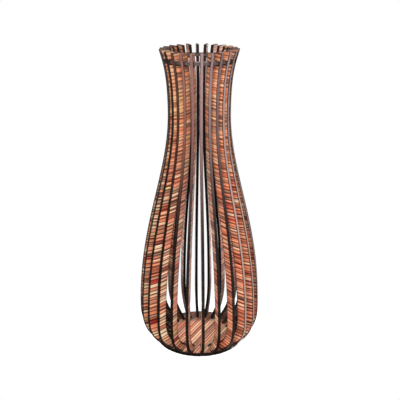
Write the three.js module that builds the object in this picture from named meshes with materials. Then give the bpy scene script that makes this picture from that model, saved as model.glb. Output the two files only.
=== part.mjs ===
import * as THREE from 'three';

// A tall slatted wooden vase. Flat ribs cut from laminated strip board stand
// edge-on around the axis, with open gaps between them. Each rib slides
// inwards onto two flat round pieces: a ring just below the rim, with a
// cross-lap joint, and the base disc, whose slot takes a tongue under the foot.
// Lengths are millimetres, angles are degrees, +Z is up and the floor is z = 0.

// Ribs
const ribCount = 24;
const ribThickness = 5.5;
const ribDepth = 19.5;

// Radii of the outer outline of the ribs
const footRadius = 89.8;
const bellyRadius = 122.5;
const neckRadius = 60.2;
const rimRadius = 75.6;

// Heights of its three stretches: disc to belly, belly to neck, neck to rim
const bowlHeight = 66.5;
const flankHeight = 408.5;
const flareHeight = 119.5;

// Slopes of the outline at its two ends, measured from the vertical
const footLean = 54;
const rimLean = 16;

// How long each end of a stretch keeps its direction, as a share of the stretch
const footPull = 0.21;
const bellyPullDown = 0.61;
const bellyPullUp = 0.445;
const neckPullDown = 0.3;
const neckPullUp = 0.635;
const rimPull = 0.2;

// Heel of each rib, the part of its foot that stands on the disc
const heelWidth = 19;
const leastHeelHeight = 2;

// Neck ring
const ringThickness = 5.5;
const ringWidth = 14;
const ringSetback = 4.5;
const ringSlotDepth = 7;
const toothHeight = 16;

// Base disc, flush with the feet
const baseThickness = 5.5;
const baseSlotDepth = 11;

// Clearance between pieces that touch
const fitGap = 0.3;

// Smoothness of the curves
const footSteps = 10;
const flankSteps = 22;
const flareSteps = 7;
const arcSteps = 3;

const bellyHeight = baseThickness + bowlHeight;
const neckHeight = bellyHeight + flankHeight;
const vaseHeight = neckHeight + flareHeight;
const ringTop = vaseHeight - toothHeight;
const ringBottom = ringTop - ringThickness;
const heelBottom = baseThickness + fitGap;

// Direction of rib number i. The first one faces the front, -Y.
function ribAngle(i) {
  return THREE.MathUtils.degToRad(-90 + (i * 360) / ribCount);
}

// Point at a radius r and a height z, moved along a lean from the vertical.
function leaned(r, z, lean, length) {
  const angle = THREE.MathUtils.degToRad(lean);
  return new THREE.Vector2(r + length * Math.sin(angle), z + length * Math.cos(angle));
}

// One stretch of the outline, with the joint to the stretch before left out.
function stretch(from, fromHandle, toHandle, to, steps) {
  return new THREE.CubicBezierCurve(from, fromHandle, toHandle, to).getPoints(steps).slice(1);
}

// Outer edge of a rib in its own plane, x outwards and y up, from disc to tip.
function outerEdge() {
  const foot = new THREE.Vector2(footRadius, baseThickness);
  const belly = new THREE.Vector2(bellyRadius, bellyHeight);
  const neck = new THREE.Vector2(neckRadius, neckHeight);
  const rim = new THREE.Vector2(rimRadius, vaseHeight);
  const up = (point, length) => new THREE.Vector2(point.x, point.y + length);
  return [
    foot,
    ...stretch(
      foot,
      leaned(foot.x, foot.y, footLean, footPull * bowlHeight),
      up(belly, -bellyPullDown * bowlHeight),
      belly,
      footSteps,
    ),
    ...stretch(
      belly,
      up(belly, bellyPullUp * flankHeight),
      up(neck, -neckPullDown * flankHeight),
      neck,
      flankSteps,
    ),
    ...stretch(
      neck,
      up(neck, neckPullUp * flareHeight),
      leaned(rim.x, rim.y, rimLean, -rimPull * flareHeight),
      rim,
      flareSteps,
    ),
  ];
}

// Radius of the straight line through two points at a height z.
function radiusOnLine(a, b, z) {
  return a.x + ((b.x - a.x) * (z - a.y)) / (b.y - a.y);
}

// Height of the straight line through two points at a radius r.
function heightOnLine(a, b, r) {
  return a.y + ((b.y - a.y) * (r - a.x)) / (b.x - a.x);
}

// Radius of an edge, given from bottom to top, at a height z.
function radiusAt(edge, z) {
  const above = edge.findIndex((point) => point.y >= z);
  const i = above === -1 ? edge.length - 1 : Math.max(above, 1);
  return radiusOnLine(edge[i - 1], edge[i], z);
}

// Part of an edge between two heights, with its end points on those heights.
function edgeBetween(edge, low, high) {
  const inside = edge.filter((point) => point.y > low + fitGap && point.y < high - fitGap);
  return [
    new THREE.Vector2(radiusAt(edge, low), low),
    ...inside,
    new THREE.Vector2(radiusAt(edge, high), high),
  ];
}

// Inner edge of a rib: the outer edge moved inwards by the rib's depth.
function innerEdge(outer) {
  return outer.map((point, i) => {
    const before = outer[Math.max(i - 1, 0)];
    const after = outer[Math.min(i + 1, outer.length - 1)];
    const along = after.clone().sub(before).normalize();
    return new THREE.Vector2(point.x - ribDepth * along.y, point.y + ribDepth * along.x);
  });
}

const outer = outerEdge();
const inner = innerEdge(outer);
const ringRadius = radiusAt(outer, (ringBottom + ringTop) / 2) - ringSetback;
const ringSlotFloor = ringRadius - ringSlotDepth;
const baseSlotFloor = footRadius - baseSlotDepth;

// The inner edge runs on in a straight line to the upright back of the heel.
const heelRadius = Math.max(
  baseSlotFloor - heelWidth,
  radiusAt(inner, heelBottom + leastHeelHeight),
);
const aboveHeel = Math.max(inner.findIndex((point) => point.x > heelRadius), 1);
const heelTop = heightOnLine(inner[aboveHeel - 1], inner[aboveHeel], heelRadius);

// Outline of a rib, with a notch for the ring and a tongue outside the heel.
function ribShape() {
  const notchBottom = ringBottom - fitGap;
  const notchTop = ringTop + fitGap;
  const notchFloor = ringSlotFloor + fitGap;
  const tongue = baseSlotFloor + fitGap;
  return new THREE.Shape([
    new THREE.Vector2(footRadius, 0),
    ...outer,
    ...edgeBetween(inner, notchTop, vaseHeight).reverse(),
    new THREE.Vector2(notchFloor, notchTop),
    new THREE.Vector2(notchFloor, notchBottom),
    ...edgeBetween(inner, heelTop, notchBottom).reverse(),
    new THREE.Vector2(heelRadius, heelBottom),
    new THREE.Vector2(tongue, heelBottom),
    new THREE.Vector2(tongue, 0),
  ]);
}

// Flat rib standing on the X axis, its thickness shared to both sides of it.
function ribGeometry() {
  const plate = new THREE.ExtrudeGeometry(ribShape(), { depth: ribThickness, bevelEnabled: false });
  plate.translate(0, 0, -ribThickness / 2);
  plate.rotateX(Math.PI / 2);
  return plate;
}

// Round outline with an open slot in its rim for each rib.
function slottedShape(radius, slotFloor) {
  const halfSlot = ribThickness / 2 + fitGap;
  const mouth = Math.sqrt(radius ** 2 - halfSlot ** 2);
  const mouthAngle = Math.asin(halfSlot / radius);
  const land = (2 * Math.PI) / ribCount - 2 * mouthAngle;
  const centre = new THREE.Vector2();
  const points = [];
  for (let i = 0; i < ribCount; i += 1) {
    const slot = [
      new THREE.Vector2(mouth, -halfSlot),
      new THREE.Vector2(slotFloor, -halfSlot),
      new THREE.Vector2(slotFloor, halfSlot),
      new THREE.Vector2(mouth, halfSlot),
    ];
    points.push(...slot.map((corner) => corner.rotateAround(centre, ribAngle(i))));
    for (let k = 1; k < arcSteps; k += 1) {
      const angle = ribAngle(i) + mouthAngle + (k / arcSteps) * land;
      points.push(new THREE.Vector2(radius * Math.cos(angle), radius * Math.sin(angle)));
    }
  }
  return new THREE.Shape(points);
}

// Neck ring, a flat band whose slots open outwards.
function ringGeometry() {
  const shape = slottedShape(ringRadius, ringSlotFloor);
  const mouth = new THREE.Path();
  mouth.absarc(0, 0, ringRadius - ringWidth, 0, 2 * Math.PI, true);
  shape.holes.push(new THREE.Path(mouth.getPoints(ribCount * arcSteps)));
  const ring = new THREE.ExtrudeGeometry(shape, { depth: ringThickness, bevelEnabled: false });
  return ring.translate(0, 0, ringBottom);
}

// Base disc, flat on the floor.
function baseGeometry() {
  const shape = slottedShape(footRadius, baseSlotFloor);
  return new THREE.ExtrudeGeometry(shape, { depth: baseThickness, bevelEnabled: false });
}

// Satin lacquer over thin glued strips of red, orange and cream wood.
function stripWood() {
  return new THREE.MeshStandardMaterial({ color: 0xc87850, roughness: 0.45, metalness: 0 });
}

// The same board stained dark all over.
function darkWood() {
  return new THREE.MeshStandardMaterial({ color: 0x4b3c3a, roughness: 0.4, metalness: 0 });
}

function piece(name, geometry, material) {
  const mesh = new THREE.Mesh(geometry, material);
  mesh.name = name;
  return mesh;
}

const vase = new THREE.Group();
vase.add(piece('base_disc', baseGeometry(), stripWood()));
vase.add(piece('neck_ring', ringGeometry(), darkWood()));
const ribPlate = ribGeometry();
for (let i = 0; i < ribCount; i += 1) {
  const number = String(i + 1).padStart(2, '0');
  const rib = piece(`rib_${number}`, ribPlate, stripWood());
  rib.rotation.z = ribAngle(i);
  vase.add(rib);
}

export default vase;
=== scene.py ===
import math
import random

import bpy
from mathutils import Matrix, Vector
from mathutils.geometry import tessellate_polygon


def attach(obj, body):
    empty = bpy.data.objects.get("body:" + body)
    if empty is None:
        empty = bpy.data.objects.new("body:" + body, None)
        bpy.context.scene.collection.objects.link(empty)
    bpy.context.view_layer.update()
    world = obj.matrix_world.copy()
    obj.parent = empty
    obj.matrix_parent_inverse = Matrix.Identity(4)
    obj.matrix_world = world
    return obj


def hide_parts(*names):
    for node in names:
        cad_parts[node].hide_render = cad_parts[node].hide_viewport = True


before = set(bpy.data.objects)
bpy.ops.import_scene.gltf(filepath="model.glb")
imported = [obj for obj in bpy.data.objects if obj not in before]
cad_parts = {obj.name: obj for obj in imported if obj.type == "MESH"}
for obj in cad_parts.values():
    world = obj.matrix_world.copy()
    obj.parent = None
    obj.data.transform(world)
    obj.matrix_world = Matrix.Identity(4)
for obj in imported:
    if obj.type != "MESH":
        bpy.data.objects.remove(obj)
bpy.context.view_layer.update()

# A tall vase of 24 radial ribs of striped laminated board round a base disc
# and a neck ring. Lengths are metres, +Z is up, the viewer is at -Y and the
# floor is z = 0.

MM = 0.001

# Ribs
RIB_COUNT = 24
BOARD = 5.5 * MM
RIB_DEPTH = 19.5 * MM
FOOT_RADIUS = 89.8 * MM
BELLY_RADIUS = 122.5 * MM
NECK_RADIUS = 60.2 * MM
RIM_RADIUS = 75.6 * MM
BOWL_HEIGHT = 66.5 * MM
FLANK_HEIGHT = 408.5 * MM
FLARE_HEIGHT = 119.5 * MM
FOOT_LEAN = 54
RIM_LEAN = 16
FOOT_PULL = 0.21
BELLY_PULL_DOWN = 0.61
BELLY_PULL_UP = 0.445
NECK_PULL_DOWN = 0.3
NECK_PULL_UP = 0.635
RIM_PULL = 0.2
HEEL_WIDTH = 19 * MM

# Ring and disc
RING_WIDTH = 14 * MM
RING_SETBACK = 4.5 * MM
RING_SLOT_DEPTH = 7 * MM
TOOTH_HEIGHT = 16 * MM
BASE_SLOT_DEPTH = 11 * MM
GAP = 0.3 * MM

BELLY_Z = BOARD + BOWL_HEIGHT
NECK_Z = BELLY_Z + FLANK_HEIGHT
TOP_Z = NECK_Z + FLARE_HEIGHT
RING_TOP = TOP_Z - TOOTH_HEIGHT
RING_BOTTOM = RING_TOP - BOARD
RING_MIDDLE = (RING_BOTTOM + RING_TOP) / 2

# Smoothness of the curves
BOWL_STEPS = 22
FLANK_STEPS = 46
FLARE_STEPS = 16
LAND_STEPS = 10
MOUTH_STEPS = 192
CORNER_STEPS = 4
EDGE_TURNS = (0, math.pi / 6, math.pi / 3, math.pi / 2)

# Fine shape of the sawn and sanded boards. A turn of SHARP_TURN degrees or more is a
# corner, and its rounding takes at most MOST_CUT of a side. A point SUPPORT further on
# holds the straight side. A cut edge has no other point nearer than CLEAR to its ends.
EDGE_ROUND = 0.4 * MM
CORNER_ROUND = 1.0 * MM
SHARP_TURN = 25
MOST_CUT = 0.3
SUPPORT = 0.35 * MM
CLEAR = 5 * GAP


# ---------------------------------------------------------------- outlines

def bezier(p0, p1, p2, p3, steps):
    points = []
    for k in range(steps + 1):
        t = k / steps
        s = 1 - t
        points.append(p0 * s ** 3 + p1 * (3 * s * s * t) + p2 * (3 * s * t * t) + p3 * t ** 3)
    return points


def leaned(point, lean, length):
    """The point moved along a lean from the vertical."""
    a = math.radians(lean)
    return Vector((point.x + length * math.sin(a), point.y + length * math.cos(a)))


def outer_edge():
    """Outer edge of a rib in its own plane, x outwards and y up, from disc to tip."""
    foot = Vector((FOOT_RADIUS, BOARD))
    belly = Vector((BELLY_RADIUS, BELLY_Z))
    neck = Vector((NECK_RADIUS, NECK_Z))
    rim = Vector((RIM_RADIUS, TOP_Z))
    up = Vector((0, 1))
    bowl = bezier(foot, leaned(foot, FOOT_LEAN, FOOT_PULL * BOWL_HEIGHT),
                  belly - up * BELLY_PULL_DOWN * BOWL_HEIGHT, belly, BOWL_STEPS)
    flank = bezier(belly, belly + up * BELLY_PULL_UP * FLANK_HEIGHT,
                   neck - up * NECK_PULL_DOWN * FLANK_HEIGHT, neck, FLANK_STEPS)
    flare = bezier(neck, neck + up * NECK_PULL_UP * FLARE_HEIGHT,
                   leaned(rim, RIM_LEAN, -RIM_PULL * FLARE_HEIGHT), rim, FLARE_STEPS)
    return bowl + flank[1:] + flare[1:]


def inner_edge(outer):
    """The outer edge moved inwards by the rib's depth."""
    points = []
    for i, p in enumerate(outer):
        along = (outer[min(i + 1, len(outer) - 1)] - outer[max(i - 1, 0)]).normalized()
        points.append(p + Vector((-along.y, along.x)) * RIB_DEPTH)
    return points


def radius_at(edge, z):
    """Radius of an edge, given from bottom to top, at a height."""
    above = next((i for i, p in enumerate(edge) if p.y >= z), len(edge) - 1)
    a, b = edge[max(above, 1) - 1], edge[max(above, 1)]
    return a.x + (b.x - a.x) * (z - a.y) / (b.y - a.y)


def height_on_line(a, b, radius):
    """Height of the straight line through two points at a radius."""
    return a.y + (b.y - a.y) * (radius - a.x) / (b.x - a.x)


def edge_between(edge, low, high):
    """Part of an edge between two heights."""
    inside = [p for p in edge if low + CLEAR < p.y < high - CLEAR]
    start, end = (Vector((radius_at(edge, z), z)) for z in (low, high))
    return [start] + inside + [end]


OUTER = outer_edge()
INNER = inner_edge(OUTER)
RING_RADIUS = radius_at(OUTER, RING_MIDDLE) - RING_SETBACK
RING_SLOT_FLOOR = RING_RADIUS - RING_SLOT_DEPTH
BASE_SLOT_FLOOR = FOOT_RADIUS - BASE_SLOT_DEPTH
HEEL_RADIUS = BASE_SLOT_FLOOR - HEEL_WIDTH
HEEL_TOP = height_on_line(INNER[0], INNER[1], HEEL_RADIUS)


def rib_outline():
    """Closed outline of a rib, with a notch for the ring and a tongue outside the heel."""
    notch_bottom, notch_top = RING_BOTTOM - GAP, RING_TOP + GAP
    notch_floor = RING_SLOT_FLOOR + GAP
    heel_bottom = BOARD + GAP
    tongue = BASE_SLOT_FLOOR + GAP
    return (
        [Vector((FOOT_RADIUS, 0))]
        + OUTER
        + edge_between(INNER, notch_top, TOP_Z)[::-1]
        + [Vector((notch_floor, notch_top)), Vector((notch_floor, notch_bottom))]
        + edge_between(INNER, HEEL_TOP, notch_bottom)[::-1]
        + [Vector((HEEL_RADIUS, heel_bottom)), Vector((tongue, heel_bottom)), Vector((tongue, 0))]
    )


def rib_angle(i):
    """Direction of rib number i. The first one faces the front."""
    return math.radians(-90 + i * 360 / RIB_COUNT)


def slotted_outline(radius, slot_floor):
    """Round outline with an open slot in its rim for each rib."""
    half = BOARD / 2 + GAP
    mouth = math.sqrt(radius ** 2 - half ** 2)
    mouth_angle = math.asin(half / radius)
    land = 2 * math.pi / RIB_COUNT - 2 * mouth_angle
    points = []
    for i in range(RIB_COUNT):
        a = rib_angle(i)
        turn = Matrix.Rotation(a, 2)
        for x, y in ((mouth, -half), (slot_floor, -half), (slot_floor, half), (mouth, half)):
            points.append(turn @ Vector((x, y)))
        for k in range(1, LAND_STEPS):
            b = a + mouth_angle + land * k / LAND_STEPS
            points.append(Vector((radius * math.cos(b), radius * math.sin(b))))
    return points


def round_hole(radius):
    """Round outline, clockwise."""
    angles = [-2 * math.pi * k / MOUTH_STEPS for k in range(MOUTH_STEPS)]
    return [Vector((radius * math.cos(a), radius * math.sin(a))) for a in angles]


def turn_at(before, here, after):
    """Degrees by which the outline turns at a point, to either side."""
    a = (here - before).normalized()
    b = (after - here).normalized()
    return math.degrees(abs(math.atan2(a.x * b.y - a.y * b.x, a.dot(b))))


def softened(points):
    """The closed outline with each corner rounded, and a point kept on both sides of it."""
    result = []
    for i, here in enumerate(points):
        before, after = points[i - 1], points[(i + 1) % len(points)]
        turn = turn_at(before, here, after)
        if turn < SHARP_TURN:
            result.append(here)
            continue
        back, ahead = before - here, after - here
        cut = min(CORNER_ROUND * math.tan(math.radians(turn) / 2),
                  MOST_CUT * back.length, MOST_CUT * ahead.length)
        start = here + back.normalized() * cut
        end = here + ahead.normalized() * cut
        result.append(start + back.normalized() * min(SUPPORT, MOST_CUT * back.length))
        result.append(start)
        for k in range(1, CORNER_STEPS):
            t = k / CORNER_STEPS
            result.append(start * (1 - t) ** 2 + here * 2 * t * (1 - t) + end * t * t)
        result.append(end)
        result.append(end + ahead.normalized() * min(SUPPORT, MOST_CUT * ahead.length))
    return result


def inset(points, distance):
    """The closed outline moved to its left, which is inwards where it is anticlockwise."""
    result = []
    for i, here in enumerate(points):
        a = (here - points[i - 1]).normalized()
        b = (points[(i + 1) % len(points)] - here).normalized()
        left = Vector((-a.y, a.x))
        middle = (left + Vector((-b.y, b.x))).normalized()
        result.append(here + middle * distance / middle.dot(left))
    return result


# ---------------------------------------------------------------- meshes

FACE_SLOT, EDGE_SLOT = 0, 1


def side_rings():
    """(inset, height, slope) of each ring from the lower flat face to the upper one, round the
    two soft arrises."""
    half = BOARD / 2
    upper = [(EDGE_ROUND * (1 - math.cos(a)), half - EDGE_ROUND * (1 - math.sin(a)), a)
             for a in EDGE_TURNS]
    return [(s, -h, -a) for s, h, a in reversed(upper)] + upper


SIDE_RINGS = side_rings()


def outward(points):
    """Normal to the right of the closed outline at each point."""
    count = len(points)
    along = [(points[(i + 1) % count] - points[i - 1]).normalized() for i in range(count)]
    return [Vector((d.y, -d.x)) for d in along]


def store(obj, name, values):
    """Stores a number for each point of a piece, or one for all, for its material to read."""
    count = len(obj.data.vertices)
    attribute = obj.data.attributes.new(name, "FLOAT", "POINT")
    attribute.data.foreach_set("value", values if isinstance(values, list) else [values] * count)


def board(name, loops, place):
    """A board cut to closed outlines in its own plane: its rim anticlockwise, and its hole
    clockwise. place turns (u, v, height) into the row frame. FACE_SLOT is its two flat faces
    and EDGE_SLOT its sawn edges. It stores the height, from -1 to 1 through the board."""
    last = len(SIDE_RINGS) - 1
    origin = place(0, 0, 0)
    verts, normals, heights, faces, slots, flat = [], [], [], [], [], []
    for loop in loops:
        count, first = len(loop), len(verts)
        sideways = outward(loop)
        for s, h, a in SIDE_RINGS:
            verts += [place(p.x, p.y, h) for p in inset(loop, s)]
            normals += [place(n.x * math.cos(a), n.y * math.cos(a), math.sin(a)) - origin
                        for n in sideways]
            heights += [2 * h / BOARD] * count
        for r in range(last):
            for i in range(count):
                a, b = first + r * count + i, first + r * count + (i + 1) % count
                faces.append((a, b, b + count, a + count))
                slots.append(EDGE_SLOT)
        flat += [(first + i, first + last * count + i) for i in range(count)]
    caps = [[Vector((p.x, p.y, 0)) for p in inset(loop, EDGE_ROUND)] for loop in loops]
    corners = [p for cap in caps for p in cap]
    for tri in tessellate_polygon(caps):
        a, b, c = (corners[k] for k in tri)
        if (b - a).cross(c - a).z < 0:
            tri = tri[::-1]
        faces.append(tuple(flat[k][0] for k in reversed(tri)))
        faces.append(tuple(flat[k][1] for k in tri))
        slots += [FACE_SLOT, FACE_SLOT]
    mesh = bpy.data.meshes.new(name)
    mesh.from_pydata(verts, [], faces)
    mesh.polygons.foreach_set("material_index", slots)
    mesh.polygons.foreach_set("use_smooth", [True] * len(faces))
    mesh.update()
    mesh.normals_split_custom_set_from_vertices(normals)
    obj = bpy.data.objects.new(name, mesh)
    bpy.context.collection.objects.link(obj)
    store(obj, "height", heights)
    return obj


# ---------------------------------------------------------------- shader nodes

def srgb(r, g, b):
    """The colour in linear light of an 8-bit one."""
    return tuple(c / 255 / 12.92 if c <= 10 else ((c / 255 + 0.055) / 1.055) ** 2.4
                 for c in (r, g, b)) + (1,)


class Tree:
    """A few short names for making shader nodes."""

    def __init__(self, owner):
        owner.use_nodes = True
        self.tree = owner.node_tree
        self.tree.nodes.clear()

    def put(self, socket, value):
        if isinstance(value, bpy.types.NodeSocket):
            self.tree.links.new(value, socket)
        else:
            socket.default_value = value

    def fill(self, node, values):
        """Fills a node's inputs in their order, and gives its first output."""
        for socket, value in zip(node.inputs, values):
            self.put(socket, value)
        return node.outputs[0]

    def node(self, kind, settings=None, **inputs):
        n = self.tree.nodes.new(kind)
        for key, value in (settings or {}).items():
            setattr(n, key, value)
        for key, value in inputs.items():
            self.put(n.inputs[key.replace("_", " ")], value)
        return n

    def math(self, operation, *values, clamp=False):
        settings = {"operation": operation, "use_clamp": clamp}
        return self.fill(self.node("ShaderNodeMath", settings), values)

    def chain(self, operation, values):
        result = values[0]
        for value in values[1:]:
            result = self.math(operation, result, value)
        return result

    def add(self, *values):
        return self.chain("ADD", values)

    def times(self, *values):
        return self.chain("MULTIPLY", values)

    def most(self, *values):
        return self.chain("MAXIMUM", values)

    def minus(self, a, b):
        return self.math("SUBTRACT", a, b)

    def hypotenuse(self, a, b):
        return self.math("SQRT", self.add(self.times(a, a), self.times(b, b)))

    def remap(self, value, low, high, to_low=0.0, to_high=1.0, kind="LINEAR"):
        """The value's place between two others, held at both ends."""
        n = self.node("ShaderNodeMapRange", {"interpolation_type": kind})
        return self.fill(n, (value, low, high, to_low, to_high))

    def ease(self, value, low, high, to_low=0.0, to_high=1.0):
        """The same with a soft start and end."""
        return self.remap(value, low, high, to_low, to_high, "SMOOTHSTEP")

    def mix(self, factor, a, b, blend="MIX"):
        n = self.node("ShaderNodeMix", {"data_type": "RGBA", "blend_type": blend}, Factor=factor)
        self.put(n.inputs[6], a)
        self.put(n.inputs[7], b)
        return n.outputs[2]

    def ramp(self, value, stops):
        n = self.node("ShaderNodeValToRGB")
        elements = n.color_ramp.elements
        elements.remove(elements[-1])
        elements[0].position, elements[0].color = stops[0]
        for position, colour in stops[1:]:
            elements.new(position).color = colour
        return self.fill(n, (value,))

    def curve(self, value, points):
        """A smooth curve through points, both coordinates from 0 to 1."""
        n = self.node("ShaderNodeFloatCurve", Value=value)
        knots = n.mapping.curves[0].points
        knots[0].location, knots[1].location = points[0], points[-1]
        for point in points[1:-1]:
            knots.new(*point)
        n.mapping.update()
        return n.outputs[0]

    def attribute(self, name):
        """The number that a piece stores under a name, or 0 where it stores none."""
        return self.node("ShaderNodeAttribute", {"attribute_name": name}).outputs["Fac"]

    def coordinates(self, kind="Object"):
        point = self.node("ShaderNodeTexCoord").outputs[kind]
        return self.node("ShaderNodeSeparateXYZ", Vector=point).outputs

    def combine(self, x, y, z):
        return self.fill(self.node("ShaderNodeCombineXYZ"), (x, y, z))

    def noise(self, vector, detail, rough=0.5):
        """A random number that drifts over a distance of about 1."""
        return self.node("ShaderNodeTexNoise", Vector=vector, Scale=1.0, Detail=detail,
                         Roughness=rough).outputs[0]

    def noise_along(self, w, size, detail, rough=0.5):
        """A random number that drifts over about that size along w."""
        return self.node("ShaderNodeTexNoise", {"noise_dimensions": "1D"}, W=w, Scale=1 / size,
                         Detail=detail, Roughness=rough).outputs[0]

    def layers(self, feature, w, size, randomness):
        settings = {"voronoi_dimensions": "1D", "feature": feature}
        return self.node("ShaderNodeTexVoronoi", settings, W=w, Scale=1 / size,
                         Randomness=randomness).outputs

    def cells(self, w, size, randomness=1.0):
        """Three random numbers for each layer of about that size along w."""
        colour = self.layers("F1", w, size, randomness)["Color"]
        return self.node("ShaderNodeSeparateColor", Color=colour).outputs

    def joints(self, w, size, randomness=1.0):
        """Distance to the nearest joint between the same layers, in units of w."""
        return self.times(self.layers("DISTANCE_TO_EDGE", w, size, randomness)["Distance"], size)

    def position(self):
        """x, y, z, radius from the axis and angle about it of the shaded point."""
        x, y, z = self.coordinates()
        return x, y, z, self.hypotenuse(x, y), self.math("ARCTAN2", y, x)


# ---------------------------------------------------------------- strip board

# Colours of the strips, the glue between them and the saw's burn, which also serves as painted
# shade, and black for painted shade at the sides of the vase
CREAM = srgb(255, 228, 188)
YELLOW = srgb(255, 214, 148)
PEACH = srgb(255, 182, 142)
ORANGE = srgb(244, 140, 98)
SALMON = srgb(232, 114, 92)
RED = srgb(186, 54, 48)
BROWN = srgb(112, 44, 34)
TAN = srgb(240, 164, 116)
GLUE = srgb(72, 16, 11)
DARK_GLUE = srgb(22, 6, 6)
SCORCH_AND_SHADE = srgb(12, 7, 7)
SIDE_SHADE_BLACK = (0, 0, 0, 1)

# Thicknesses of its layers, in the millimetres that its material counts in: single veneers,
# plies, blocks of plies that share a hue, and zones in which the hue drifts
VENEER = 3.0
PLY = 7.4
DISC_PLY = 5.6
BLOCK = 21.0
ZONE = 44.0
PLY_RANDOMNESS = 0.8

# Each board comes from its own part of the stack. The layers wave a little along it.
BOARD_SHIFT = 613.7
WAVE = 1.6
WAVE_ALONG, WAVE_UP = 0.03, 0.02

# Hues in the order in which a strip's number picks them. The number starts at FIRST_PICK, and
# each layer swings it so far, (at the left, at the right) of the vase.
HUES = ((0.02, YELLOW), (0.12, CREAM), (0.26, PEACH), (0.38, ORANGE), (0.46, PEACH),
        (0.52, CREAM), (0.58, SALMON), (0.65, PEACH), (0.75, ORANGE), (0.87, RED), (0.98, BROWN))
FIRST_PICK = 0.4
VENEER_SWING = 0.14
PLY_SWING = (0.6, 0.52)
BLOCK_SWING = (0.38, 0.12)
ZONE_SWING = (0.55, 0.2)
FULL_SWING_TURN = 0.5
TONE_PICK = 0.18

# Between these heights in millimetres the strips change to those of the neck, which are more
# tan, more alike and less lined
NECK = (300.0, 460.0)
NECK_PICK = -0.1
NECK_TAN = 0.42
NECK_GLUE = -0.2

# Glue lines: their widths in millimetres, or for plies in shares of the ply, and how much of
# the wood they cover. Their strength changes every GLUE_CHANGE millimetres or so.
VENEER_LINE = (0.22, 0.6)
VENEER_LINE_DEPTH = 0.78
PLY_LINE = (0.08, 0.28)
PLY_LINE_DEPTH = 0.96
BLOCK_LINE = (0.2, 1.6)
BLOCK_LINE_DEPTH = 0.95
LINE_SOFTNESS = 0.3
GLUE_CHANGE = 6.5
GLUE_NOISE = (0.3, 0.65)
GLUE_STRENGTH = (0.8, 1.0)
DARK_GLUE_FROM = 0.86

# Veneers whose number reaches the top of the range are nearly as dark as the glue
DARK_VENEERS = (0.78, 0.86)
DARK_VENEER_DEPTH = 0.62

# Fibre of the wood: streaks along the strips, a noise of which these ranges are used
FIBRE_ALONG, FIBRE_UP = 0.22, 2.6
FIBRE_DARK = (0.35, 0.75)
FIBRE_ROUGH = (0.2, 0.8)
FIBRE_DEPTH = 0.2
FIBRE_RELIEF = 0.35
GLUE_RELIEF = 0.5

# Painted shade: boards that are turned to the far right and the far left of the vase are drawn
# darker
RIGHT_PAINTED_SHADE, RIGHT_POWER = 0.74, 6.0
LEFT_PAINTED_SHADE, LEFT_POWER = 0.5, 8.0

# Lacquer
IOR = 1.5
BUMP_HEIGHT = 0.1 * MM
FACE_ROUGHNESS = (0.30, 0.46)
FACE_BUMP = 0.35
FACE_SPECULAR = 0.3
RIB_COAT = 0.15
DISC_COAT = 0.05
COAT_ROUGHNESS = 0.12
BURN_ROUGHNESS = 0.9


def layer_coordinates(t, across):
    """Millimetres up the stack of glued strips, along them and the third way, and how far the
    board is turned to the left (-1) or right (1) of the vase. A rib's strips lie level in its
    own plane. A flat board's are stacked in a direction in plan, and it counts as the middle."""
    x, y, z = (t.times(c, 1 / MM) for c in t.coordinates())
    if across is None:
        radius = t.hypotenuse(x, y)
        return z, radius, t.add(x, y), t.math("DIVIDE", x, radius)
    cos, sin = math.cos(math.radians(across)), math.sin(math.radians(across))
    stack = t.add(t.times(x, cos), t.times(y, sin))
    along = t.minus(t.times(y, cos), t.times(x, sin))
    return stack, along, z, 0.0


def strip_hue(t, w, turn, neck, veneer, ply, block):
    """Hue of each strip, picked by the random numbers of the layers it is in."""
    zone = t.noise_along(w, ZONE, detail=2.0, rough=0.6)
    pick = t.add(t.times(veneer[0], VENEER_SWING), FIRST_PICK)
    for number, swings in ((ply[0], PLY_SWING), (block[1], BLOCK_SWING), (zone, ZONE_SWING)):
        swing = t.remap(turn, -FULL_SWING_TURN, FULL_SWING_TURN, *swings)
        pick = t.add(pick, t.times(t.minus(number, 0.5), swing))
    pick = t.add(pick, t.times(neck, NECK_PICK))
    pick = t.math("ADD", pick, t.times(t.attribute("tone"), TONE_PICK), clamp=True)
    return t.mix(t.times(neck, NECK_TAN), t.ramp(pick, HUES), TAN)


def glue_lines(t, w, size, neck, ply, block):
    """How dark the glue is: thin between veneers, wider between plies and widest at blocks."""
    thin = t.remap(t.joints(w, VENEER), *VENEER_LINE, VENEER_LINE_DEPTH, 0.0)
    half = t.remap(ply[2], 0.0, 1.0, *(share * size for share in PLY_LINE))
    wide = t.remap(t.minus(half, t.joints(w, size, PLY_RANDOMNESS)),
                   -LINE_SOFTNESS, LINE_SOFTNESS, 0.0, PLY_LINE_DEPTH)
    half = t.remap(block[2], 0.0, 1.0, *BLOCK_LINE)
    widest = t.remap(t.minus(half, t.joints(w, BLOCK)),
                     -LINE_SOFTNESS, LINE_SOFTNESS, 0.0, BLOCK_LINE_DEPTH)
    return t.times(t.most(thin, wide, widest), t.add(t.times(neck, NECK_GLUE), 1.0))


def painted_side_shade(t, turn):
    """Painted shade: how much darker a board is drawn for its place at the side of the vase."""
    right = t.math("POWER", t.most(turn, 0.0), RIGHT_POWER)
    left = t.math("POWER", t.most(t.times(turn, -1.0), 0.0), LEFT_POWER)
    return t.add(t.times(right, RIGHT_PAINTED_SHADE), t.times(left, LEFT_PAINTED_SHADE))


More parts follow.
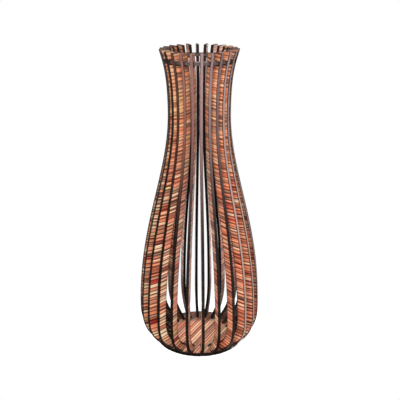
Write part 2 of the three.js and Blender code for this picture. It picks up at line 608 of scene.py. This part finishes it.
def strip_stack(t, across, size):
    """Colour, relief and fibre of a stack of glued strips: light and dark plies a few
    millimetres thick, dark glue lines between them, and blocks of plies that share a hue."""
    stack, along, third, turn = layer_coordinates(t, across)
    number = t.attribute("board")
    stack = t.add(stack, t.times(along, t.attribute("slope")))
    shifted = t.add(stack, t.times(number, BOARD_SHIFT))
    wave = t.noise(t.combine(t.times(along, WAVE_ALONG), t.times(shifted, WAVE_UP), number),
                   detail=1.0)
    w = t.add(shifted, t.times(t.minus(wave, 0.5), WAVE))

    veneer = t.cells(w, VENEER)
    ply = t.cells(w, size, PLY_RANDOMNESS)
    block = t.cells(w, BLOCK)
    neck = t.ease(stack, *NECK)
    fibre = t.noise(t.combine(t.times(along, FIBRE_ALONG), t.times(w, FIBRE_UP), third),
                    detail=3.0, rough=0.65)
    glue = glue_lines(t, w, size, neck, ply, block)
    strength = t.remap(t.noise_along(w, GLUE_CHANGE, detail=0.0), *GLUE_NOISE, *GLUE_STRENGTH)
    glue_colour = t.mix(t.remap(strength, DARK_GLUE_FROM, 1.0), GLUE, DARK_GLUE)

    colour = strip_hue(t, w, turn, neck, veneer, ply, block)
    colour = t.mix(t.remap(fibre, *FIBRE_DARK, 0.0, FIBRE_DEPTH), colour, BROWN)
    colour = t.mix(t.remap(veneer[1], *DARK_VENEERS, 0.0, DARK_VENEER_DEPTH), colour, GLUE)
    colour = t.mix(t.times(glue, strength), colour, glue_colour)
    # Painted shade darkens the boards at the far sides of the vase
    colour = t.mix(painted_side_shade(t, turn), colour, SIDE_SHADE_BLACK)
    relief = t.minus(t.times(fibre, FIBRE_RELIEF), t.times(glue, GLUE_RELIEF))
    return colour, relief, fibre


def finish_shader(t, colour, relief, roughness, bump, specular, coat=0.0):
    lift = t.node("ShaderNodeBump", Strength=bump, Distance=BUMP_HEIGHT, Height=relief)
    shader = t.node("ShaderNodeBsdfPrincipled", Base_Color=colour, Roughness=roughness, IOR=IOR,
                    Specular_IOR_Level=specular, Coat_Weight=coat,
                    Coat_Roughness=COAT_ROUGHNESS, Coat_IOR=IOR, Normal=lift.outputs[0])
    t.node("ShaderNodeOutputMaterial", Surface=shader.outputs[0])


def strip_face(name, scorch_and_shade, across=None, coat=RIB_COAT, size=PLY):
    """Lacquered face of the board: strips of yellow, cream, orange and red wood between dark
    glue lines, burnt black and dull where its mask says so, which is partly painted shade."""
    material = bpy.data.materials.new(name)
    t = Tree(material)
    colour, relief, fibre = strip_stack(t, across, size)
    # the burn mask is partly painted shade
    darkening = scorch_and_shade(t)
    roughness = t.most(t.remap(fibre, *FIBRE_ROUGH, *FACE_ROUGHNESS),
                       t.times(darkening, BURN_ROUGHNESS))
    finish_shader(t, t.mix(darkening, colour, SCORCH_AND_SHADE), relief, roughness, FACE_BUMP, FACE_SPECULAR,
                  t.times(t.minus(1.0, darkening), coat))
    return material


# ---------------------------------------------------------------- burnt parts and painted shade

# The rib's outer outline as a curve: knots, closer together at the foot, and its scale
OUTLINE_KNOTS = 30
KNOT_POWER = 1.5
OUTLINE_SPAN = 0.13
SLOPE_STEP = 2 * MM

# Burn of a rib's face, as distances from its outlines, which is partly painted shade in the gaps
# # between the ribs. The outer one narrows between two heights and is widest at the foot, where
# it
# # is painted shade.
OUTER_BURN = (5 * MM, 1 * MM)
OUTER_BURN_NARROWS = (12 * MM, 36 * MM)
OUTER_BURN_FADE = 1.4 * MM
INNER_BURN = (2.6 * MM, 0.8 * MM)
FOOT_BURN = (1 * MM, 3 * MM)
RIB_BURN_DEPTH = 0.94

# Painted shade all over the lower ends of the rear ribs, and a fainter painted shade on the tips
# above the ring
REAR_SHADE = (-10 * MM, 30 * MM)
REAR_SHADE_HEIGHTS = (50 * MM, 150 * MM)
REAR_SHADE_DEPTH = 0.85
SIDE_FADE = 20 * MM
TIP_FADE = 3 * MM
FRONT_TIP_SHADE, LEFT_TIP_SHADE, RIGHT_TIP_SHADE = 0.3, 0.5, 0.15

# Burn round the notch with a painted shadow of the ring below it, and burn round the slots and
# the
# # rim of the disc that is partly painted shade, with painted shade over its rear
SHADOW_BELOW_NOTCH = (4.5 * MM, 2.5 * MM)
ABOVE_NOTCH = (0.4 * MM, 1.4 * MM)
BEHIND_NOTCH = (7 * MM, 4 * MM)
RIM_BURN = (5.5 * MM, 3.5 * MM)
BESIDE_SLOT = (0.8 * MM, 1.8 * MM)
BEHIND_SLOT = (3 * MM, 1 * MM)
DISC_REAR_SHADE = (35 * MM, 60 * MM)
DISC_REAR_SHADE_DEPTH = 0.7
JOINT_BURN_DEPTH = 0.95


def outline_radius(t, height):
    """Radius of a rib's outer outline at a height."""
    climb = TOP_Z - BOARD
    shares = [(k / OUTLINE_KNOTS) ** KNOT_POWER for k in range(OUTLINE_KNOTS + 1)]
    points = [(s, radius_at(OUTER, BOARD + climb * s) / OUTLINE_SPAN) for s in shares]
    share = t.math("DIVIDE", t.minus(height, BOARD), climb, clamp=True)
    return t.times(t.curve(share, points), OUTLINE_SPAN)


def burnt_and_shaded_outline(t):
    """Burn along the sawn outlines of a rib's face, partly painted shade in the gaps and at the
    foot, and painted shade over its foot at the rear and on its tip.
    """
    x, y, z, radius, angle = t.position()
    here = outline_radius(t, z)
    rise = t.minus(outline_radius(t, t.add(z, SLOPE_STEP)), here)
    slant = t.hypotenuse(rise, SLOPE_STEP)
    depth = t.times(t.minus(here, radius), t.math("DIVIDE", SLOPE_STEP, slant))
    width = t.ease(z, *OUTER_BURN_NARROWS, *OUTER_BURN)
    outer = t.ease(t.minus(depth, width), 0.0, OUTER_BURN_FADE, 1.0, 0.0)
    inner = t.ease(depth, *(RIB_DEPTH - d for d in INNER_BURN))
    foot = t.ease(z, *(BOARD + d for d in FOOT_BURN), 1.0, 0.0)
    # painted shade over the feet of the rear ribs and on the tips, darkest at the left
    rear = t.times(t.ease(y, *REAR_SHADE), t.ease(z, *REAR_SHADE_HEIGHTS, REAR_SHADE_DEPTH, 0.0))
    rear_tips = t.remap(x, -SIDE_FADE, SIDE_FADE, LEFT_TIP_SHADE, RIGHT_TIP_SHADE)
    tips = t.times(t.remap(y, -SIDE_FADE, 0.0, FRONT_TIP_SHADE, rear_tips),
                   t.remap(z, RING_TOP, RING_TOP + TIP_FADE))
    return t.most(t.times(t.most(outer, inner, foot, rear), RIB_BURN_DEPTH), tips)


def ring_shadow_and_notch_burn(t):
    """Painted shadow of the ring on a rib's face below its notch, and a narrow burn above it."""
    x, y, z, radius, angle = t.position()
    below = t.ease(z, *(RING_BOTTOM - d for d in SHADOW_BELOW_NOTCH))
    above = t.ease(z, *(RING_TOP + d for d in ABOVE_NOTCH), 1.0, 0.0)
    behind = t.ease(radius, *(RING_SLOT_FLOOR - d for d in BEHIND_NOTCH))
    return t.times(below, above, behind, JOINT_BURN_DEPTH)


def burnt_and_shaded_rib(t):
    return t.most(ring_shadow_and_notch_burn(t), burnt_and_shaded_outline(t))


def burnt_and_shaded_disc(t):
    """Burn round the rim of the disc and beside each of its slots, which is partly painted
    shade, and painted shade over its rear.
    """
    x, y, z, radius, angle = t.position()
    rim = t.ease(radius, *(FOOT_RADIUS - d for d in RIM_BURN))
    aside = t.times(t.math("PINGPONG", angle, math.pi / RIB_COUNT), radius)
    slot = t.times(t.ease(aside, *(BOARD / 2 + d for d in BESIDE_SLOT), 1.0, 0.0),
                   t.ease(radius, *(BASE_SLOT_FLOOR - d for d in BEHIND_SLOT)))
    # painted shade over the rear of the disc
    rear = t.times(t.ease(y, *DISC_REAR_SHADE), DISC_REAR_SHADE_DEPTH)
    return t.times(t.most(rim, slot, rear), JOINT_BURN_DEPTH)


# ---------------------------------------------------------------- sawn edges

# Stains. A rib's is dark at the foot, and at the top it goes from grey over warm to brown towards
# # the left of the vase, and at the right the foot is pale. This change from side to side is
# # painted light: a painted highlight at the right and painted shade at the left.
DARK_STAIN = srgb(24, 15, 13)
GREY_STAIN = srgb(142, 119, 120)
HIGHLIGHT_STAIN = srgb(200, 164, 150)
WARM_STAIN = srgb(150, 100, 88)
SHADE_BROWN_STAIN = srgb(30, 14, 9)
DISC_STAIN = srgb(9, 8, 8)
# The ring's flat faces are paler than its edges: a painted highlight of their lacquer
RING_TOP_HIGHLIGHT_STAIN = srgb(126, 112, 110)
RING_STAIN = srgb(84, 74, 74)

# Turns to the right (1) or left (-1) over which they change, and how much of each there is
HIGHLIGHT_TURNS, HIGHLIGHT_SHARE = (0.5, 0.8), 0.85
WARM_TURNS = (0.1, -0.45)
SHADE_BROWN_TURNS, SHADE_BROWN_SHARE = (-0.45, -0.86), 0.95
STAIN_HEIGHTS = (240 * MM, 550 * MM)

# Unevenness of the stain, its black borders, and the painted shade on the side that faces the
# axis
STRIPS_SHOWN = 0.02
PIECE_SHADE, PIECE_SHARE = srgb(116, 116, 116), 0.7
FIBRE_SHADE, FIBRE_SHARE = srgb(150, 136, 140), 0.8
FIBRE_SHADED = (0.35, 0.65)
ARRIS = (0.76, 0.99)
ARRIS_DEPTH = 0.9
INNER_SHADE_DEPTH = 0.93
EDGE_ROUGHNESS = (0.34, 0.5)
EDGE_BUMP = 0.4
EDGE_SPECULAR = 0.12
DISC_EDGE_SPECULAR = 0.08


def rib_stain_and_painted_light(t):
    """Colour of a rib's edge by its height, with painted light by its side of the vase: a
    painted highlight at the right foot and painted shade at the left.
    """
    x, y, z, radius, angle = t.position()
    turn = t.math("DIVIDE", x, radius)
    foot = t.mix(t.times(t.ease(turn, *HIGHLIGHT_TURNS), HIGHLIGHT_SHARE), DARK_STAIN, HIGHLIGHT_STAIN)
    top = t.mix(t.ease(turn, *WARM_TURNS), GREY_STAIN, WARM_STAIN)
    top = t.mix(t.times(t.ease(turn, *SHADE_BROWN_TURNS), SHADE_BROWN_SHARE), top, SHADE_BROWN_STAIN)
    return t.mix(t.ease(z, *STAIN_HEIGHTS), foot, top)


def dark_edge(name, stain, across=None, arris=ARRIS_DEPTH, specular=EDGE_SPECULAR):
    """Sawn and stained edge, uncoated, burnt black along both arrises, and painted black as
    shade on the side that faces the axis. stain is a colour, or makes one."""
    material = bpy.data.materials.new(name)
    t = Tree(material)
    colour, relief, fibre = strip_stack(t, across, PLY)
    stain = t.mix(STRIPS_SHOWN, stain(t) if callable(stain) else stain, colour)
    stain = t.mix(t.times(t.attribute("shade"), PIECE_SHARE), stain, PIECE_SHADE, "MULTIPLY")
    stain = t.mix(t.remap(fibre, *FIBRE_SHADED, 0.0, FIBRE_SHARE), stain, FIBRE_SHADE,
                  "MULTIPLY")
    scorch_and_shade = t.ease(t.math("ABSOLUTE", t.attribute("height")), *ARRIS, 0.0, arris)
    # painted shade on the side of a rib's edge that faces the axis
    scorch_and_shade = t.most(scorch_and_shade, t.times(t.attribute("inner"), INNER_SHADE_DEPTH))
    roughness = t.most(t.remap(fibre, *FIBRE_ROUGH, *EDGE_ROUGHNESS),
                       t.times(scorch_and_shade, BURN_ROUGHNESS))
    finish_shader(t, t.mix(scorch_and_shade, stain, SCORCH_AND_SHADE), relief, roughness, EDGE_BUMP, specular)
    return material


# ---------------------------------------------------------------- the vase

# Directions in plan, in degrees, in which the strips of the flat boards are stacked
DISC_ACROSS = 150
RING_ACROSS = 35

rib_face = strip_face("rib_strips", burnt_and_shaded_rib)
rib_edge = dark_edge("rib_stain_and_painted_light", rib_stain_and_painted_light)
disc_face = strip_face("disc_strips", burnt_and_shaded_disc, DISC_ACROSS, DISC_COAT, DISC_PLY)
disc_edge = dark_edge("disc_stain", DISC_STAIN, DISC_ACROSS, specular=DISC_EDGE_SPECULAR)
ring_face = dark_edge("ring_top_painted_highlight", RING_TOP_HIGHLIGHT_STAIN, RING_ACROSS, arris=0.0)
ring_edge = dark_edge("ring_stain", RING_STAIN, RING_ACROSS)

# Numbers that place the disc and the ring in the stack of strips, as the ribs' own do
DISC_NUMBER, RING_NUMBER = 31, 37

# How the ribs differ: their hue moves towards red to the right of the vase, and by chance,
# and their strips slope a little by chance
SEED = 1716
SIDE_TONE = 0.5
CHANCE_TONE = 0.35
MOST_SLOPE = 0.02


def finish_piece(obj, node, materials, number, tone=0.0, slope=0.0):
    """Gives a board its two materials and its numbers, and puts it in its node's place."""
    for material in materials:
        obj.data.materials.append(material)
    store(obj, "board", float(number))
    store(obj, "tone", tone)
    store(obj, "slope", slope)
    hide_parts(node)
    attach(obj, "root")


def level(z):
    """Places a flat board with its middle at a height."""
    return lambda u, v, h: Vector((u, v, h + z))


def upright(angle):
    """Places a rib in the plane through the axis at an angle."""
    radial = Vector((math.cos(angle), math.sin(angle), 0))
    tangent = Vector((-math.sin(angle), math.cos(angle), 0))
    return lambda u, v, h: radial * u - tangent * h + Vector((0, 0, v))


draw = random.Random(SEED)
rib_loop = softened(rib_outline())
inner_side = [float(p.x < radius_at(OUTER, p.y) - RIB_DEPTH / 2) for p in rib_loop]
for i in range(RIB_COUNT):
    node = f"rib_{i + 1:02d}"
    rib = board(f"{node}_board", [rib_loop], upright(rib_angle(i)))
    store(rib, "inner", inner_side * len(SIDE_RINGS))
    store(rib, "shade", draw.uniform(0.0, 1.0))
    tone = SIDE_TONE * math.cos(rib_angle(i)) + draw.uniform(-CHANCE_TONE, CHANCE_TONE)
    finish_piece(rib, node, (rib_face, rib_edge), i + 1, tone,
                 draw.uniform(-MOST_SLOPE, MOST_SLOPE))

disc_loop = softened(slotted_outline(FOOT_RADIUS, BASE_SLOT_FLOOR))
disc = board("base_disc_board", [disc_loop], level(BOARD / 2))
finish_piece(disc, "base_disc", (disc_face, disc_edge), DISC_NUMBER)

ring_loop = softened(slotted_outline(RING_RADIUS, RING_SLOT_FLOOR))
ring = board("neck_ring_board", [ring_loop, round_hole(RING_RADIUS - RING_WIDTH)],
             level(RING_MIDDLE))
finish_piece(ring, "neck_ring", (ring_face, ring_edge), RING_NUMBER)


# ---------------------------------------------------------------- studio

WHITE = (1, 1, 1, 1)

# Floor: its grey and how much it glows under the vase, and where it turns plain white
FLOOR_RADIUS, FLOOR_STEPS = 6.0, 64
FLOOR_Z = -0.2 * MM
FLOOR_GREY = (0.9, 0.9, 0.9, 1)
FLOOR_GLOW = 0.4
FLOOR_FADE = (0.10, 0.22)

# What the lacquer mirrors of the floor: white from the right round to the rear, between two
# angles in radians, and elsewhere dim but brighter far in front
CARD_START = (-1.15, -0.8)
CARD_END = (2.0, 2.4)
CARD_FRONT = (-0.6, -1.3)
CARD_DIM = (0.06, 0.5)

# What it mirrors of the room: white, dimmer in front and at the far left. And the strength
# of the room's own even light.
ROOM_BACK, ROOM_FRONT_DIM = (-0.1, 0.5), 0.25
ROOM_LEFT, ROOM_LEFT_DIM = (-0.93, -0.7), 0.12
ROOM_LIGHT = 0.27


def floor_material():
    """White floor that takes the vase's soft shadow and runs on into plain white. In the
    lacquer it mirrors as a card that is bright at the right and rear and dim elsewhere."""
    material = bpy.data.materials.new("studio_floor")
    t = Tree(material)
    path = t.node("ShaderNodeLightPath").outputs
    x, y, z, radius, angle = t.position()

    def glow(strength):
        return t.node("ShaderNodeEmission", Color=WHITE, Strength=strength).outputs[0]

    def blend(factor, a, b):
        return t.fill(t.node("ShaderNodeMixShader"), (factor, a, b))

    matt = t.node("ShaderNodeBsdfDiffuse", Color=FLOOR_GREY).outputs[0]
    near = t.fill(t.node("ShaderNodeAddShader"),
                  (matt, glow(t.times(path["Is Camera Ray"], FLOOR_GLOW))))
    far = t.times(t.ease(radius, *FLOOR_FADE), path["Is Camera Ray"])
    side = t.times(t.ease(angle, *CARD_START), t.ease(angle, *CARD_END, 1.0, 0.0))
    card = glow(t.most(t.ease(y, *CARD_FRONT, *CARD_DIM), side))
    shader = blend(path["Is Glossy Ray"], blend(far, near, glow(1.0)), card)
    t.node("ShaderNodeOutputMaterial", Surface=shader)
    return material


def make_floor():
    angles = [2 * math.pi * k / FLOOR_STEPS for k in range(FLOOR_STEPS)]
    verts = [(FLOOR_RADIUS * math.cos(a), FLOOR_RADIUS * math.sin(a), FLOOR_Z) for a in angles]
    mesh = bpy.data.meshes.new("floor")
    mesh.from_pydata(verts, [], [tuple(range(FLOOR_STEPS))])
    mesh.materials.append(floor_material())
    obj = bpy.data.objects.new("floor", mesh)
    bpy.context.collection.objects.link(obj)


def make_world():
    """White to the camera, and a dim even light."""
    world = bpy.data.worlds.new("studio")
    bpy.context.scene.world = world
    t = Tree(world)
    path = t.node("ShaderNodeLightPath").outputs
    x, y, z = t.coordinates("Generated")
    room = t.times(t.ease(y, *ROOM_BACK, ROOM_FRONT_DIM, 1.0),
                   t.ease(x, *ROOM_LEFT, ROOM_LEFT_DIM, 1.0))
    strength = t.most(path["Is Camera Ray"], t.times(path["Is Glossy Ray"], room),
                      t.times(path["Is Diffuse Ray"], ROOM_LIGHT))
    shader = t.node("ShaderNodeBackground", Color=WHITE, Strength=strength)
    t.node("ShaderNodeOutputWorld", Surface=shader.outputs[0])


def lamp(name, place, aim, size, watts, mirrored):
    light = bpy.data.lights.new(name, "AREA")
    light.shape = "RECTANGLE"
    light.size, light.size_y = size
    light.energy = watts
    obj = bpy.data.objects.new(name, light)
    obj.location = place
    obj.rotation_euler = (Vector(aim) - Vector(place)).to_track_quat("-Z", "Y").to_euler()
    obj.visible_glossy = mirrored
    bpy.context.collection.objects.link(obj)


# Area lamps: name, place, aim, width and height, watts, and whether the lacquer mirrors them
MIDDLE = (0, 0, 0.3)
BELLY = (0, 0, 0.1)
LAMPS = (
    ("front_softbox", (-0.28, -2.0, 1.6), MIDDLE, (1.4, 1.0), 84, True),
    ("right_softbox", (1.5, 0.35, 0.5), MIDDLE, (0.8, 1.2), 16, True),
    ("low_right_card", (0.9, -1.1, 0.12), BELLY, (0.5, 0.2), 2, True),
    ("top_softbox", (0.0, 0.4, 2.0), MIDDLE, (1.2, 1.2), 16, True),
    ("rear_softbox", (-0.9, 1.7, 0.7), MIDDLE, (1.2, 1.2), 32, False),
)

make_floor()
make_world()
for row in LAMPS:
    lamp(*row)

# Camera: in front, a little to the left, looking down on the vase's middle. Angles are in
# degrees, and the sensor and the focal length in millimetres.
CAMERA_AZIMUTH = 3.6
CAMERA_PITCH = 19.686
CAMERA_DISTANCE = 1.42716
AIM_HEIGHT = 0.302494
SENSOR_WIDTH = 36
FOCAL_LENGTH = 64.5822
SHIFT_X = 0.0015
CLIP_END = 50

azimuth, pitch = math.radians(CAMERA_AZIMUTH), math.radians(CAMERA_PITCH)
level_distance = CAMERA_DISTANCE * math.cos(pitch)
camera_data = bpy.data.cameras.new("camera")
camera_data.sensor_width = SENSOR_WIDTH
camera_data.lens = FOCAL_LENGTH
camera_data.shift_x = SHIFT_X
camera_data.clip_end = CLIP_END
camera = bpy.data.objects.new("camera", camera_data)
camera.location = (-level_distance * math.sin(azimuth), -level_distance * math.cos(azimuth),
                   AIM_HEIGHT + CAMERA_DISTANCE * math.sin(pitch))
camera.rotation_euler = (math.pi / 2 - pitch, 0, -azimuth)
bpy.context.collection.objects.link(camera)
bpy.context.scene.camera = camera
bpy.context.scene.view_settings.view_transform = "Standard"
